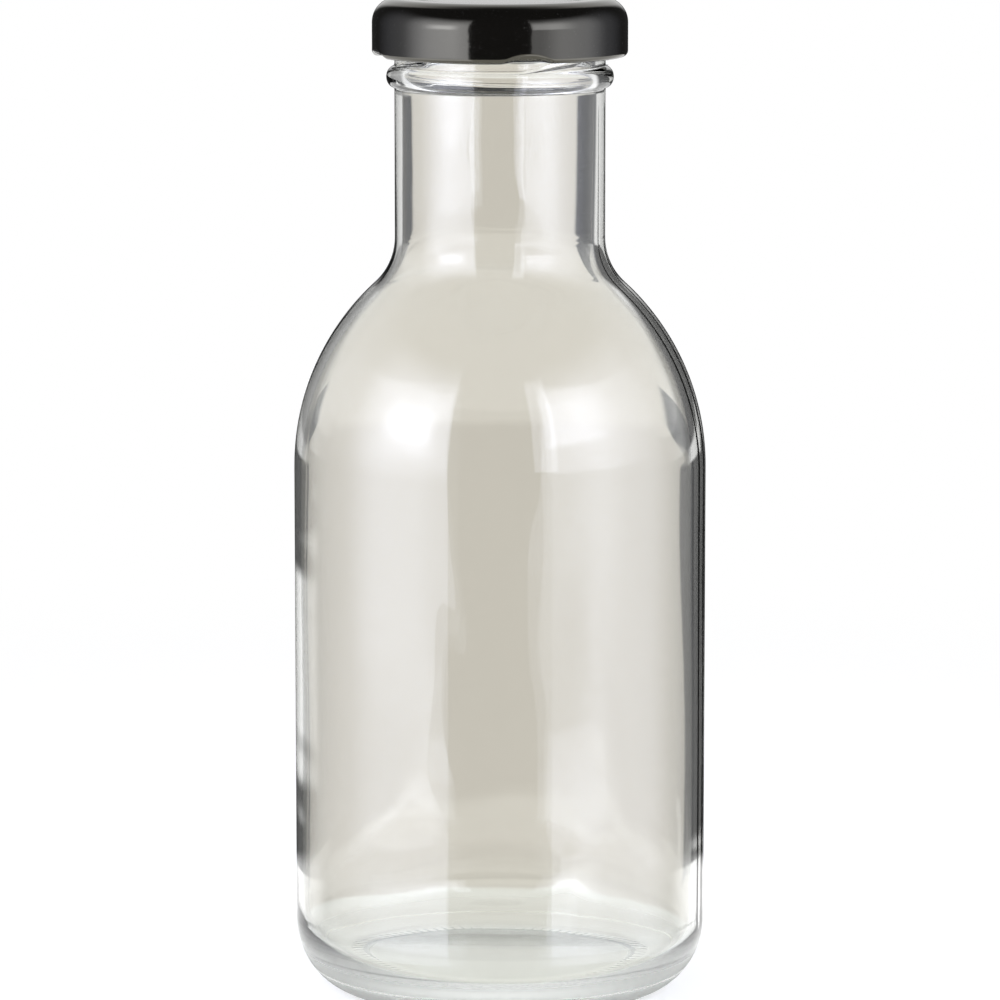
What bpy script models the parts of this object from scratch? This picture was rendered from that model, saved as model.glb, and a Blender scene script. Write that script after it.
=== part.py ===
"""Round glass bottle closed by a black metal twist-off cap with four lugs.

Metres, +Z up. The bottle stands on z = 0 and its axis is the Z axis. Its front faces -Y.
Three pieces come apart: the moulded glass, the pressed cap and the gasket ring in the cap.
"""

import math

import bmesh
import bpy
from mathutils import Matrix

# Bottle: outer form
BODY_RADIUS = 0.0336
SHOULDER_START_HEIGHT = 0.0861
SHOULDER_RADIUS = 0.0406
NECK_RADIUS = 0.0171
NECK_FILLET_RADIUS = 0.0102
NECK_LENGTH = 0.0243
HEEL_WIDTH = 0.0090
HEEL_HEIGHT = 0.0114

# Bottle: base and glass thickness
WALL = 0.0021
BASE_THICKNESS = 0.0038
BEARING_WIDTH = 0.0017
PUSH_UP_STEP = 0.0009
PUSH_UP_RISE = 0.0022
INNER_HEEL_RADIUS = 0.0101
FLOOR_CROWN = 0.0012
LIP_ROUND = 0.0008

# Bottle: bead below the cap
BEAD_HEIGHT = 0.0034
BEAD_DEPTH = 0.00133

# Bottle: the four short threads
THREAD_COUNT = 4
THREAD_DEPTH = 0.00135
THREAD_HEIGHT = 0.0014
THREAD_ROOT = 0.0007
THREAD_TAIL_SINK = 0.0002
THREAD_TAIL_RISE = 0.0010
THREAD_LEAD_RISE = 0.0005
TAIL_HEIGHT_SHARE = 0.12
TAIL_DEPTH_SHARE = 0.25
LEAD_DEPTH_SHARE = 0.08
TAIL_START_DEG = -4.0
TAIL_END_DEG = 30.0
GRIP_START_DEG = 40.0
GRIP_END_DEG = 76.0
TAIL_TAPER_DEG = 28.0
GRIP_TAPER_DEG = 7.0

# Cap: pressed sheet
SHEET = 0.00025
SKIRT_HEIGHT = 0.0094
CORNER_RADIUS = 0.0039
PANEL_DROP = 0.0010
RIDGE_SLOPE_WIDTH = 0.0012
RIDGE_ROUND = 0.0006
CURL_RADIUS = 0.00092
CURL_TURN_DEG = 280.0

# Cap: lugs pressed in from the curl
LUG_TURN_DEG = 13.0
LUG_FLAT_DEG = 6.0
LUG_HALF_DEG = 13.5
LUG_HEIGHT = 0.0011
LUG_LIFT = 0.00024
RELIEF_HEIGHT = 0.0016
RELIEF_SLOPE = 0.35

# Gasket ring
GASKET_THICKNESS = 0.00095
GASKET_INSIDE_LAP = 0.00025
GASKET_OUTSIDE_LAP = 0.0012
GASKET_ROUND = 0.0003

# Clearances
CAP_FOOT_GAP = 0.0016
CURL_CLEARANCE = 0.0004
RIDGE_SIDE_GAP = 0.00035
LUG_WALL_CLEARANCE = 0.00035
LUG_PLAY = 0.00015
SEAT_GAP = 0.0003

# Facets
BOTTLE_STEPS = 52
CAP_STEPS = 72
GASKET_STEPS = 40
THREAD_STATIONS = 17
MERGE_DISTANCE = 0.00001
SHARP_ANGLE_DEG = 40.0

# Worked out from the sizes above: bottle
SHOULDER_CENTRE_RADIUS = BODY_RADIUS - SHOULDER_RADIUS
FILLET_CENTRE_RADIUS = NECK_RADIUS + NECK_FILLET_RADIUS
FILLET_SPAN = FILLET_CENTRE_RADIUS - SHOULDER_CENTRE_RADIUS
FILLET_RISE = math.sqrt((SHOULDER_RADIUS + NECK_FILLET_RADIUS) ** 2 - FILLET_SPAN**2)
BEAD_FOOT = SHOULDER_START_HEIGHT + FILLET_RISE + NECK_LENGTH
BEAD_TOP = BEAD_FOOT + BEAD_HEIGHT
BORE_RADIUS = NECK_RADIUS - WALL
FLOOR_RADIUS = BODY_RADIUS - WALL - INNER_HEEL_RADIUS
BEARING_RADIUS = BODY_RADIUS - HEEL_WIDTH - BEARING_WIDTH
PUSH_UP_RADIUS = BEARING_RADIUS - PUSH_UP_STEP

# Worked out from the sizes above: cap and gasket
CAP_FOOT = BEAD_TOP + CAP_FOOT_GAP
CAP_TOP = CAP_FOOT + SKIRT_HEIGHT
CURL_INNER_RADIUS = NECK_RADIUS + THREAD_DEPTH + CURL_CLEARANCE
CAP_RADIUS = CURL_INNER_RADIUS + 2 * CURL_RADIUS
CORNER_CENTRE_RADIUS = CAP_RADIUS - CORNER_RADIUS
PRESSED_HEIGHT = max(RELIEF_HEIGHT, 2 * CURL_RADIUS)
GASKET_TOP = CAP_TOP - SHEET - SEAT_GAP
GASKET_FOOT = GASKET_TOP - GASKET_THICKNESS
GASKET_INNER_RADIUS = BORE_RADIUS - GASKET_INSIDE_LAP
GASKET_OUTER_RADIUS = NECK_RADIUS + GASKET_OUTSIDE_LAP
RIDGE_INNER_RADIUS = GASKET_INNER_RADIUS - RIDGE_SIDE_GAP
LIP_TOP = GASKET_FOOT - SEAT_GAP


def clear_scene():
    for item in list(bpy.data.objects):
        bpy.data.objects.remove(item, do_unlink=True)


def new_collection(name):
    collection = bpy.data.collections.new(name)
    bpy.context.scene.collection.children.link(collection)
    return collection


def new_material(name, colour, roughness, metallic=0.0, transmission=0.0):
    material = bpy.data.materials.new(name)
    material.use_nodes = True
    shader = material.node_tree.nodes["Principled BSDF"]
    shader.inputs["Base Color"].default_value = (*colour, 1.0)
    shader.inputs["Roughness"].default_value = roughness
    shader.inputs["Metallic"].default_value = metallic
    shader.inputs["Transmission Weight"].default_value = transmission
    material.diffuse_color = (*colour, 1.0)
    return material


def arc(centre, radii, start_deg, end_deg, segments):
    """Points of an elliptic arc in the profile plane, both ends included."""
    points = []
    for step in range(segments + 1):
        angle = math.radians(start_deg + (end_deg - start_deg) * step / segments)
        points.append((centre[0] + radii[0] * math.cos(angle), centre[1] + radii[1] * math.sin(angle)))
    return points


def filleted(corners):
    """Polyline through corners (r, z, fillet radius, segments), each corner rounded by its own arc."""
    points = []
    for index, (r, z, radius, segments) in enumerate(corners):
        if radius == 0 or index in (0, len(corners) - 1):
            points.append((r, z))
            continue
        before = corners[index - 1]
        after = corners[index + 1]
        into = math.atan2(z - before[1], r - before[0])
        out = math.atan2(after[1] - z, after[0] - r)
        turn = (out - into + math.pi) % (2 * math.pi) - math.pi
        cut = radius * math.tan(abs(turn) / 2)
        side = math.copysign(1, turn)
        start = (r - cut * math.cos(into), z - cut * math.sin(into))
        centre = (start[0] - side * radius * math.sin(into), start[1] + side * radius * math.cos(into))
        first = into - side * math.pi / 2
        for step in range(segments + 1):
            angle = first + turn * step / segments
            points.append((centre[0] + radius * math.cos(angle), centre[1] + radius * math.sin(angle)))
    return points


def profile_mesh(name, profile, closed):
    """The turned profile as an edge chain in the XZ plane, on the +X side."""
    mesh = bpy.data.meshes.new(name)
    shape = bmesh.new()
    points = [shape.verts.new((r, 0, z)) for r, z in profile]
    for before, after in zip(points, points[1:]):
        shape.edges.new((before, after))
    if closed:
        shape.edges.new((points[-1], points[0]))
    shape.to_mesh(mesh)
    shape.free()
    return mesh


def turned(name, profile, steps, collection, closed=False):
    """A profile turned about the Z axis by a live Screw modifier."""
    piece = bpy.data.objects.new(name, profile_mesh(name, profile, closed))
    collection.objects.link(piece)
    screw = piece.modifiers.new("turn", "SCREW")
    screw.axis = "Z"
    screw.angle = 2 * math.pi
    screw.steps = steps
    screw.render_steps = steps
    screw.use_merge_vertices = True
    screw.merge_threshold = MERGE_DISTANCE
    screw.use_smooth_shade = True
    return piece


def applied(piece):
    """The same object with its modifiers worked into its mesh."""
    bpy.context.view_layer.update()
    graph = bpy.context.evaluated_depsgraph_get()
    mesh = bpy.data.meshes.new_from_object(piece.evaluated_get(graph))
    piece.modifiers.clear()
    piece.data = mesh
    return piece


def shade_round(mesh):
    mesh.shade_smooth()
    mesh.set_sharp_from_angle(angle=math.radians(SHARP_ANGLE_DEG))


def smooth_step(value):
    share = min(1.0, max(0.0, value))
    return share * share * (3 - 2 * share)


def lerp(start, end, share):
    return start + (end - start) * share


def shoulder_line(inset, shoulder_segments, fillet_segments):
    """Shoulder and neck fillet from the body up, moved into the glass by inset."""
    shoulder = (SHOULDER_CENTRE_RADIUS, SHOULDER_START_HEIGHT)
    fillet = (FILLET_CENTRE_RADIUS, SHOULDER_START_HEIGHT + FILLET_RISE)
    meet_deg = math.degrees(math.atan2(FILLET_RISE, FILLET_SPAN))
    shoulder_r = SHOULDER_RADIUS - inset
    fillet_r = NECK_FILLET_RADIUS + inset
    body = arc(shoulder, (shoulder_r, shoulder_r), 0, meet_deg, shoulder_segments)
    neck = arc(fillet, (fillet_r, fillet_r), 180 + meet_deg, 180, fillet_segments)
    return body + neck[1:]


def push_up_height(share):
    """Height of the hollow under the base, share = 0 at its centre and 1 at its edge."""
    return lerp(PUSH_UP_RISE, PUSH_UP_STEP, share**2)


def cavity_profile():
    """Inside of the bottle, from the middle of the floor up to the lip."""
    floor_centre = PUSH_UP_RISE + BASE_THICKNESS
    floor_edge = floor_centre - FLOOR_CROWN
    floor_shares = (0.0, 0.4, 0.75)
    floor = [(FLOOR_RADIUS * share, lerp(floor_centre, floor_edge, share**2)) for share in floor_shares]
    heel_centre = (FLOOR_RADIUS, floor_edge + INNER_HEEL_RADIUS)
    heel = arc(heel_centre, (INNER_HEEL_RADIUS, INNER_HEEL_RADIUS), -90, 0, 5)
    lip = arc((BORE_RADIUS + LIP_ROUND, LIP_TOP - LIP_ROUND), (LIP_ROUND, LIP_ROUND), 180, 90, 3)
    return floor + heel + shoulder_line(WALL, 7, 3) + lip


def outside_profile():
    """Outside of the bottle, from the lip down to the middle of the base."""
    lip = arc((NECK_RADIUS - LIP_ROUND, LIP_TOP - LIP_ROUND), (LIP_ROUND, LIP_ROUND), 90, 0, 3)
    bead_centre = (NECK_RADIUS, BEAD_FOOT + BEAD_HEIGHT / 2)
    bead = arc(bead_centre, (BEAD_DEPTH, BEAD_HEIGHT / 2), 90, -90, 8)
    shoulder = shoulder_line(0, 8, 4)[::-1]
    heel_centre = (BODY_RADIUS - HEEL_WIDTH, HEEL_HEIGHT)
    heel = arc(heel_centre, (HEEL_WIDTH, HEEL_HEIGHT), 0, -90, 6)
    hollow_shares = (1.0, 0.7, 0.35, 0.0)
    hollow = [(PUSH_UP_RADIUS * share, push_up_height(share)) for share in hollow_shares]
    return lip + bead + shoulder + heel + [(BEARING_RADIUS, 0)] + hollow


def thread_underside(angle_deg):
    """Height of a thread's lower face, counted in degrees from the lug that rests beside it."""
    tail_foot = BEAD_TOP - THREAD_TAIL_SINK
    tail_head = tail_foot + THREAD_TAIL_RISE
    grip = CAP_FOOT + LUG_HEIGHT + LUG_PLAY
    if angle_deg <= TAIL_END_DEG:
        share = (angle_deg - TAIL_START_DEG) / (TAIL_END_DEG - TAIL_START_DEG)
        return lerp(tail_foot, tail_head, share)
    if angle_deg <= GRIP_START_DEG:
        share = (angle_deg - TAIL_END_DEG) / (GRIP_START_DEG - TAIL_END_DEG)
        return lerp(tail_head, grip, smooth_step(share))
    share = (angle_deg - GRIP_START_DEG) / (GRIP_END_DEG - GRIP_START_DEG)
    return lerp(grip, grip + THREAD_LEAD_RISE, share)


def thread_section(angle_deg, middle_deg):
    """Outline of one thread at one angle, as points in space."""
    tail = smooth_step((angle_deg - TAIL_START_DEG) / TAIL_TAPER_DEG)
    lead = smooth_step((GRIP_END_DEG - angle_deg) / GRIP_TAPER_DEG)
    height = THREAD_HEIGHT * lerp(TAIL_HEIGHT_SHARE, 1, tail)
    depth = THREAD_DEPTH * lerp(TAIL_DEPTH_SHARE, 1, tail) * lerp(LEAD_DEPTH_SHARE, 1, lead)
    foot = thread_underside(angle_deg)
    root = NECK_RADIUS - THREAD_ROOT
    outline_shares = ((0.0, 0.0), (0.62, 0.08), (1.0, 0.34), (1.0, 0.6), (0.7, 0.84), (0.0, 1.0))
    outline = [(root, foot)]
    outline += [(NECK_RADIUS + depth * out, foot + height * up) for out, up in outline_shares]
    outline += [(root, foot + height)]
    turn = math.radians(middle_deg + angle_deg - 90)
    return [(r * math.cos(turn), r * math.sin(turn), z) for r, z in outline]


def thread_ribs():
    """Four short threads, lofted between sections that taper at both ends."""
    mesh = bpy.data.meshes.new("thread_ribs")
    shape = bmesh.new()
    for number in range(THREAD_COUNT):
        middle_deg = LUG_TURN_DEG + number * 360 / THREAD_COUNT
        rings = []
        for station in range(THREAD_STATIONS):
            angle_deg = lerp(TAIL_START_DEG, GRIP_END_DEG, station / (THREAD_STATIONS - 1))
            rings.append([shape.verts.new(point) for point in thread_section(angle_deg, middle_deg)])
        for ring, following in zip(rings, rings[1:]):
            for index in range(len(ring)):
                after = (index + 1) % len(ring)
                shape.faces.new((ring[index], following[index], following[after], ring[after]))
        shape.faces.new(rings[0])
        shape.faces.new(rings[-1][::-1])
    bmesh.ops.recalc_face_normals(shape, faces=shape.faces)
    shape.to_mesh(mesh)
    shape.free()
    return bpy.data.objects.new("thread_ribs", mesh)


def glass_bottle(parts, helpers):
    """Moulded glass: one turned wall with the four threads joined to its finish."""
    bottle = turned("glass_bottle", cavity_profile() + outside_profile()[1:], BOTTLE_STEPS, parts)
    ribs = thread_ribs()
    ribs.hide_render = True
    ribs.display_type = "WIRE"
    helpers.objects.link(ribs)
    join = bottle.modifiers.new("threads", "BOOLEAN")
    join.operation = "UNION"
    join.solver = "EXACT"
    join.object = ribs
    return bottle


def cap_profile():
    """Outer face of the cap's sheet, from the middle of the panel to the end of the curl."""
    panel = CAP_TOP - PANEL_DROP
    top = filleted(
        [
            (0, panel, 0, 0),
            (RIDGE_INNER_RADIUS - RIDGE_SLOPE_WIDTH, panel, RIDGE_ROUND, 2),
            (RIDGE_INNER_RADIUS, CAP_TOP, RIDGE_ROUND, 2),
            (CAP_RADIUS, CAP_TOP, CORNER_RADIUS, 5),
            (CAP_RADIUS, CAP_FOOT + PRESSED_HEIGHT, 0, 0),
        ]
    )
    curl_centre = (CAP_RADIUS - CURL_RADIUS, CAP_FOOT + CURL_RADIUS)
    curl = arc(curl_centre, (CURL_RADIUS, CURL_RADIUS), 0, -CURL_TURN_DEG, 8)
    return top + curl


def lug_offset(angle_deg):
    """Degrees between an angle and the middle of the nearest lug."""
    pitch = 360 / THREAD_COUNT
    return abs((angle_deg - LUG_TURN_DEG + pitch / 2) % pitch - pitch / 2)


def press_lugs(mesh):
    """Pushes the curl inwards and flattens it at each lug, under an arched dent in the skirt."""
    lug_push = CURL_INNER_RADIUS - NECK_RADIUS - LUG_WALL_CLEARANCE
    flattening = 1 - LUG_HEIGHT / (2 * CURL_RADIUS)
    for vertex in mesh.vertices:
        x, y, z = vertex.co
        rise = z - CAP_FOOT
        if rise > PRESSED_HEIGHT:
            continue
        r = math.hypot(x, y)
        offset = lug_offset(math.degrees(math.atan2(x, -y)))
        pressed = smooth_step((LUG_HALF_DEG - offset) / (LUG_HALF_DEG - LUG_FLAT_DEG))
        inside = min(1.0, max(0.0, (CAP_RADIUS - r) / (2 * CURL_RADIUS)))
        arch = RELIEF_HEIGHT * max(0.0, 1 - (offset / LUG_HALF_DEG) ** 2)
        dent = RELIEF_SLOPE * max(0.0, arch - rise)
        kept_share = (r - lerp(dent, lug_push * pressed, inside)) / r
        lift = LUG_LIFT * pressed * (1 - rise / PRESSED_HEIGHT)
        vertex.co.x = x * kept_share
        vertex.co.y = y * kept_share
        vertex.co.z = CAP_FOOT + lift + rise * (1 - flattening * inside * pressed)


def lug_cap(parts):
    """Pressed cap: a turned sheet with a curled edge, four lugs and its thickness inwards."""
    cap = applied(turned("lug_cap", cap_profile(), CAP_STEPS, parts))
    cap.data.transform(Matrix.Rotation(math.radians(LUG_TURN_DEG - 90), 4, "Z"))
    press_lugs(cap.data)
    shade_round(cap.data)
    shell = cap.modifiers.new("sheet", "SOLIDIFY")
    shell.thickness = SHEET
    shell.offset = -1
    shell.use_even_offset = True
    return cap


def sealing_gasket(parts):
    """Gasket ring in the channel under the cap's ridge, above the lip."""
    reach = CORNER_RADIUS - SHEET - SEAT_GAP
    corner = CAP_TOP - CORNER_RADIUS
    end_deg = math.degrees(math.acos((GASKET_OUTER_RADIUS - CORNER_CENTRE_RADIUS) / reach))
    top = arc((CORNER_CENTRE_RADIUS, corner), (reach, reach), 90, end_deg, 3)
    profile = [(GASKET_INNER_RADIUS, GASKET_FOOT), (GASKET_INNER_RADIUS, GASKET_TOP)]
    profile += top
    profile += [
        (GASKET_OUTER_RADIUS, GASKET_FOOT + GASKET_ROUND),
        (GASKET_OUTER_RADIUS - GASKET_ROUND, GASKET_FOOT),
    ]
    return turned("sealing_gasket", profile, GASKET_STEPS, parts, closed=True)


def build():
    clear_scene()
    parts = new_collection("glass_bottle_with_cap")
    helpers = new_collection("helpers")
    helpers.hide_render = True
    clear_glass = new_material("clear_glass", (0.88, 0.89, 0.87), 0.02, transmission=1.0)
    black_enamel = new_material("black_enamel", (0.012, 0.011, 0.010), 0.16)
    gasket_compound = new_material("gasket_compound", (0.82, 0.80, 0.74), 0.55)
    pieces = (
        (glass_bottle(parts, helpers), clear_glass),
        (lug_cap(parts), black_enamel),
        (sealing_gasket(parts), gasket_compound),
    )
    for piece, material in pieces:
        piece.data.materials.append(material)


build()
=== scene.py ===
"""Looks of a round glass bottle closed by a black twist-off cap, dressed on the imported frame.

Metres, +Z up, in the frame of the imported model. The bottle stands on z = 0, its axis is the Z axis
and its front faces -Y. Three pieces are dressed: the moulded glass, the pressed cap and the gasket
ring inside the cap. Angles round the bottle are counted from its front, anticlockwise from above.
"""

import logging
import math
from dataclasses import dataclass
from enum import Enum
from typing import Any

import bpy
import numpy as np
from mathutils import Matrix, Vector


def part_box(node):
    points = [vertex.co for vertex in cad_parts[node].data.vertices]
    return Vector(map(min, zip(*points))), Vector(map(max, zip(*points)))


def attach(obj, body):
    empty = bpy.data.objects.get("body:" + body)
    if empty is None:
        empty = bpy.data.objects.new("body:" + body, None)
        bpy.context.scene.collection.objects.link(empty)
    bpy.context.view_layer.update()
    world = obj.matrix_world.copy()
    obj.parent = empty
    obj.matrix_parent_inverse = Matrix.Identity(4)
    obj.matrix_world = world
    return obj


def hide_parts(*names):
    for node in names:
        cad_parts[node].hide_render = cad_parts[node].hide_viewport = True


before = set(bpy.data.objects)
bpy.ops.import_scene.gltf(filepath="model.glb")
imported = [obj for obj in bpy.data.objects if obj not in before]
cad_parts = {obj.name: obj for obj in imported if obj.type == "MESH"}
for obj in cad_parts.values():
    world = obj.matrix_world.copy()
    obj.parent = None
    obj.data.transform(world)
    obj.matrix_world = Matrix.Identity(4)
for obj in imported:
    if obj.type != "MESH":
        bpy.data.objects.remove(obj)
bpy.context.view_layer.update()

LOG = logging.getLogger("bottle_looks")

Span = tuple[float, float]
Triple = tuple[float, float, float]
Stretches = list[tuple[np.ndarray, float]]
PointGrids = tuple[np.ndarray, np.ndarray]

# Rows of the room that show in the neck, as sines of the angle above the horizon.
NECK_ROWS: tuple[Span, Span] = ((-0.132, -0.108), (-0.064, -0.072))


class Body(Enum):
    """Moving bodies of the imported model."""

    BOTTLE = "bottle"
    GASKET = "gasket"
    CAP = "cap"


class Slot(Enum):
    """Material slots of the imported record."""

    GLASS = "clear_glass"
    ENAMEL = "black_enamel"
    COMPOUND = "gasket_compound"


class Signal:
    """A shader socket in an expression; each operator adds the node that works it out."""

    def __init__(self, board: "NodeBoard", socket: bpy.types.NodeSocket) -> None:
        """Keeps the board that the socket is on."""
        self.board = board
        self.socket = socket

    def __add__(self, other: "Signal | float") -> "Signal":
        """Sum."""
        return self.board.maths("ADD", self, other)

    def __sub__(self, other: "Signal | float") -> "Signal":
        """Difference."""
        return self.board.maths("SUBTRACT", self, other)

    def __rsub__(self, other: "Signal | float") -> "Signal":
        """Difference from a number."""
        return self.board.maths("SUBTRACT", other, self)

    def __mul__(self, other: "Signal | float") -> "Signal":
        """Product."""
        return self.board.maths("MULTIPLY", self, other)

    __radd__ = __add__
    __rmul__ = __mul__

    def at_most(self, other: "Signal | float") -> "Signal":
        """The smaller of the two."""
        return self.board.maths("MINIMUM", self, other)

    def at_least(self, other: "Signal | float") -> "Signal":
        """The larger of the two."""
        return self.board.maths("MAXIMUM", self, other)

    def output(self, name: str) -> "Signal":
        """Another output of the node that this one comes from."""
        return Signal(self.board, self.socket.node.outputs[name])

    def ramp(self, start: float, end: float) -> "Signal":
        """Smooth rise from 0 at start to 1 at end, which may be the lower of the two."""
        inputs = {"Value": self, "From Min": start, "From Max": end}
        return self.board.add("ShaderNodeMapRange", {"interpolation_type": "SMOOTHSTEP"}, inputs)

    def band(self, rise: Span, fall: Span) -> "Signal":
        """1 between two smooth edges, each given as its 0 end and its 1 end."""
        return self.ramp(*rise) * self.ramp(*fall)


class NodeBoard:
    """Node tree of one material or world, and the ways to add nodes to it."""

    def __init__(self, tree: bpy.types.NodeTree) -> None:
        """Starts from an empty tree."""
        self.tree = tree
        tree.nodes.clear()

    def add(
        self,
        kind: str,
        settings: dict[str, Any] | None = None,
        inputs: dict[str | int, Any] | None = None,
        output: str | int = 0,
    ) -> Signal:
        """Adds a node.

        Args:
            kind: type name of the node.
            settings: properties, set before the sockets.
            inputs: values or signals by the socket's name or number.
            output: name or number of the output to give back.

        Returns:
            The chosen output.
        """
        node = self.tree.nodes.new(kind)
        for name, value in (settings or {}).items():
            setattr(node, name, value)
        for name, value in (inputs or {}).items():
            if isinstance(value, Signal):
                self.tree.links.new(value.socket, node.inputs[name])
            else:
                node.inputs[name].default_value = value
        return Signal(self, node.outputs[output])

    def maths(self, operation: str, *values: Signal | float) -> Signal:
        """Adds a Math node on the given values."""
        return self.add("ShaderNodeMath", {"operation": operation}, dict(enumerate(values)))

    def mix(self, share: Signal | float, first: Any, second: Any) -> Signal:
        """Mixes two colours by share."""
        return self.add("ShaderNodeMix", {"data_type": "RGBA"}, {0: share, 6: first, 7: second}, 2)

    def noise(self, place: Signal, scale: float, detail: float = 2.0) -> Signal:
        """Adds a noise texture read at place."""
        inputs = {"Vector": place, "Scale": scale, "Detail": detail, "Roughness": 0.5}
        return self.add("ShaderNodeTexNoise", {"noise_dimensions": "3D"}, inputs)

    def stretched(self, place: Signal, scale: Triple) -> Signal:
        """Place scaled by its own factor along each axis."""
        inputs = {"Vector": place, "Scale": scale}
        return self.add("ShaderNodeMapping", {"vector_type": "POINT"}, inputs)

    def bump(self, height: Signal, distance: float, strength: float) -> Signal:
        """Normal bent by a height."""
        inputs = {"Height": height, "Distance": distance, "Strength": strength}
        return self.add("ShaderNodeBump", None, inputs)

    def finish(self, kind: str, surface: Signal) -> None:
        """Links the surface to an output node of the given type."""
        node = self.tree.nodes.new(kind)
        self.tree.links.new(surface.socket, node.inputs["Surface"])


def grey(level: float) -> tuple[float, float, float, float]:
    """Neutral colour of one level."""
    return (level, level, level, 1.0)


def smooth_step(value: np.ndarray | float) -> np.ndarray:
    """Smooth rise from 0 to 1 as value goes from 0 to 1."""
    share = np.clip(value, 0.0, 1.0)
    return share * share * (3 - 2 * share)


def arc(centre: Span, radii: Span, start_deg: float, end_deg: float) -> np.ndarray:
    """Elliptic arc in the profile plane.

    Args:
        centre: middle of the arc, as (r, z).
        radii: radius along r and along z.
        start_deg: angle of the first point.
        end_deg: angle of the last point.

    Returns:
        Points of the arc, one a degree or finer, both ends included.
    """
    count = max(8, int(abs(end_deg - start_deg)))
    angles = np.radians(np.linspace(start_deg, end_deg, count + 1))
    across, up = np.cos(angles), np.sin(angles)
    return np.column_stack([centre[0] + radii[0] * across, centre[1] + radii[1] * up])


def resampled(points: np.ndarray, spacing: float) -> np.ndarray:
    """Points at an even spacing along a polyline.

    Args:
        points: corners of the line.
        spacing: distance between the new points, about.

    Returns:
        The new points, both ends included.
    """
    steps = np.hypot(*np.diff(points, axis=0).T)
    along = np.concatenate([[0.0], np.cumsum(steps)])
    count = max(2, int(round(along[-1] / spacing)) + 1)
    wanted = np.linspace(0.0, along[-1], count)
    return np.column_stack([np.interp(wanted, along, points[:, axis]) for axis in (0, 1)])


def softened(points: np.ndarray, spacing: float, reach: float) -> np.ndarray:
    """A polyline with its corners rounded by averaging along it.

    Args:
        points: corners of the line.
        spacing: distance between the points that are averaged.
        reach: standard deviation of the average.

    Returns:
        The rounded line at that spacing, its two ends kept.
    """
    fine = resampled(points, spacing)
    half = int(math.ceil(3 * reach / spacing))
    weights = np.exp(-0.5 * (np.arange(-half, half + 1) * spacing / reach) ** 2)
    weights /= weights.sum()
    before = 2 * fine[0] - fine[half:0:-1]
    after = 2 * fine[-1] - fine[-2 : -half - 2 : -1]
    padded = np.vstack([before, fine, after])
    return np.column_stack([np.convolve(padded[:, axis], weights, "valid") for axis in (0, 1)])


def column_angles(columns: int) -> np.ndarray:
    """Angles of evenly spaced columns round the axis, in radians, as one row."""
    return np.linspace(0, 2 * math.pi, columns, endpoint=False)[None, :]


def spun(rows: np.ndarray, columns: int) -> PointGrids:
    """Radius and height of rows of points, the same in each column."""
    return np.repeat(rows[:, :1], columns, 1), np.repeat(rows[:, 1:], columns, 1)


@dataclass
class RingGrid:
    """A surface of rows of points round the Z axis.

    Either end may close in a pole, or the last row may join the first.
    """

    radius: np.ndarray
    height: np.ndarray
    angle: np.ndarray
    start_pole: bool = False
    end_pole: bool = False
    endless: bool = False

    def mesh(self, name: str) -> bpy.types.Mesh:
        """Builds the mesh.

        Args:
            name: name of the mesh.

        Returns:
            A smooth mesh of quads, with triangles at the poles.
        """
        rows, columns = self.radius.shape
        x = self.radius * np.sin(self.angle)
        y = -self.radius * np.cos(self.angle)
        points = np.stack([x, y, self.height], axis=-1).reshape(-1, 3)
        grid = np.arange(rows * columns).reshape(rows, columns)
        if self.endless:
            grid = np.vstack([grid, grid[:1]])
        turned = np.roll(grid, -1, axis=1)
        quads = np.stack([grid[:-1], turned[:-1], turned[1:], grid[1:]], axis=-1).reshape(-1, 4)
        faces = quads.tolist()
        if self.start_pole:
            faces += self._fan(turned[0], grid[0], len(points))
            points = np.vstack([points, [[0, 0, self.height[0].mean()]]])
        if self.end_pole:
            faces += self._fan(grid[-1], turned[-1], len(points))
            points = np.vstack([points, [[0, 0, self.height[-1].mean()]]])
        mesh = bpy.data.meshes.new(name)
        mesh.from_pydata(points.tolist(), [], faces)
        mesh.validate()
        mesh.shade_smooth()
        return mesh

    @staticmethod
    def _fan(starts: np.ndarray, ends: np.ndarray, pole: int) -> list[list[int]]:
        """Triangles between the edges of a ring and a pole."""
        return [[int(start), int(end), pole] for start, end in zip(starts, ends)]


def placed(name: str, mesh: bpy.types.Mesh, body: Body, node: str) -> bpy.types.Object:
    """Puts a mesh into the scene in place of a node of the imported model.

    Args:
        name: name of the piece.
        mesh: its mesh, in the row frame.
        body: body that it moves with.
        node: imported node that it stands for.

    Returns:
        The object.
    """
    piece = bpy.data.objects.new(name, mesh)
    bpy.context.scene.collection.objects.link(piece)
    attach(piece, body.value)
    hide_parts(node)
    LOG.info("%s: %d faces, rides on %s", name, len(mesh.polygons), body.value)
    return piece


def shader_board(name: str) -> tuple[bpy.types.Material, NodeBoard]:
    """Starts a material.

    Args:
        name: name of the material.

    Returns:
        The material and its empty board.
    """
    material = bpy.data.materials.new(name)
    material.use_nodes = True
    return material, NodeBoard(material.node_tree)


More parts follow.
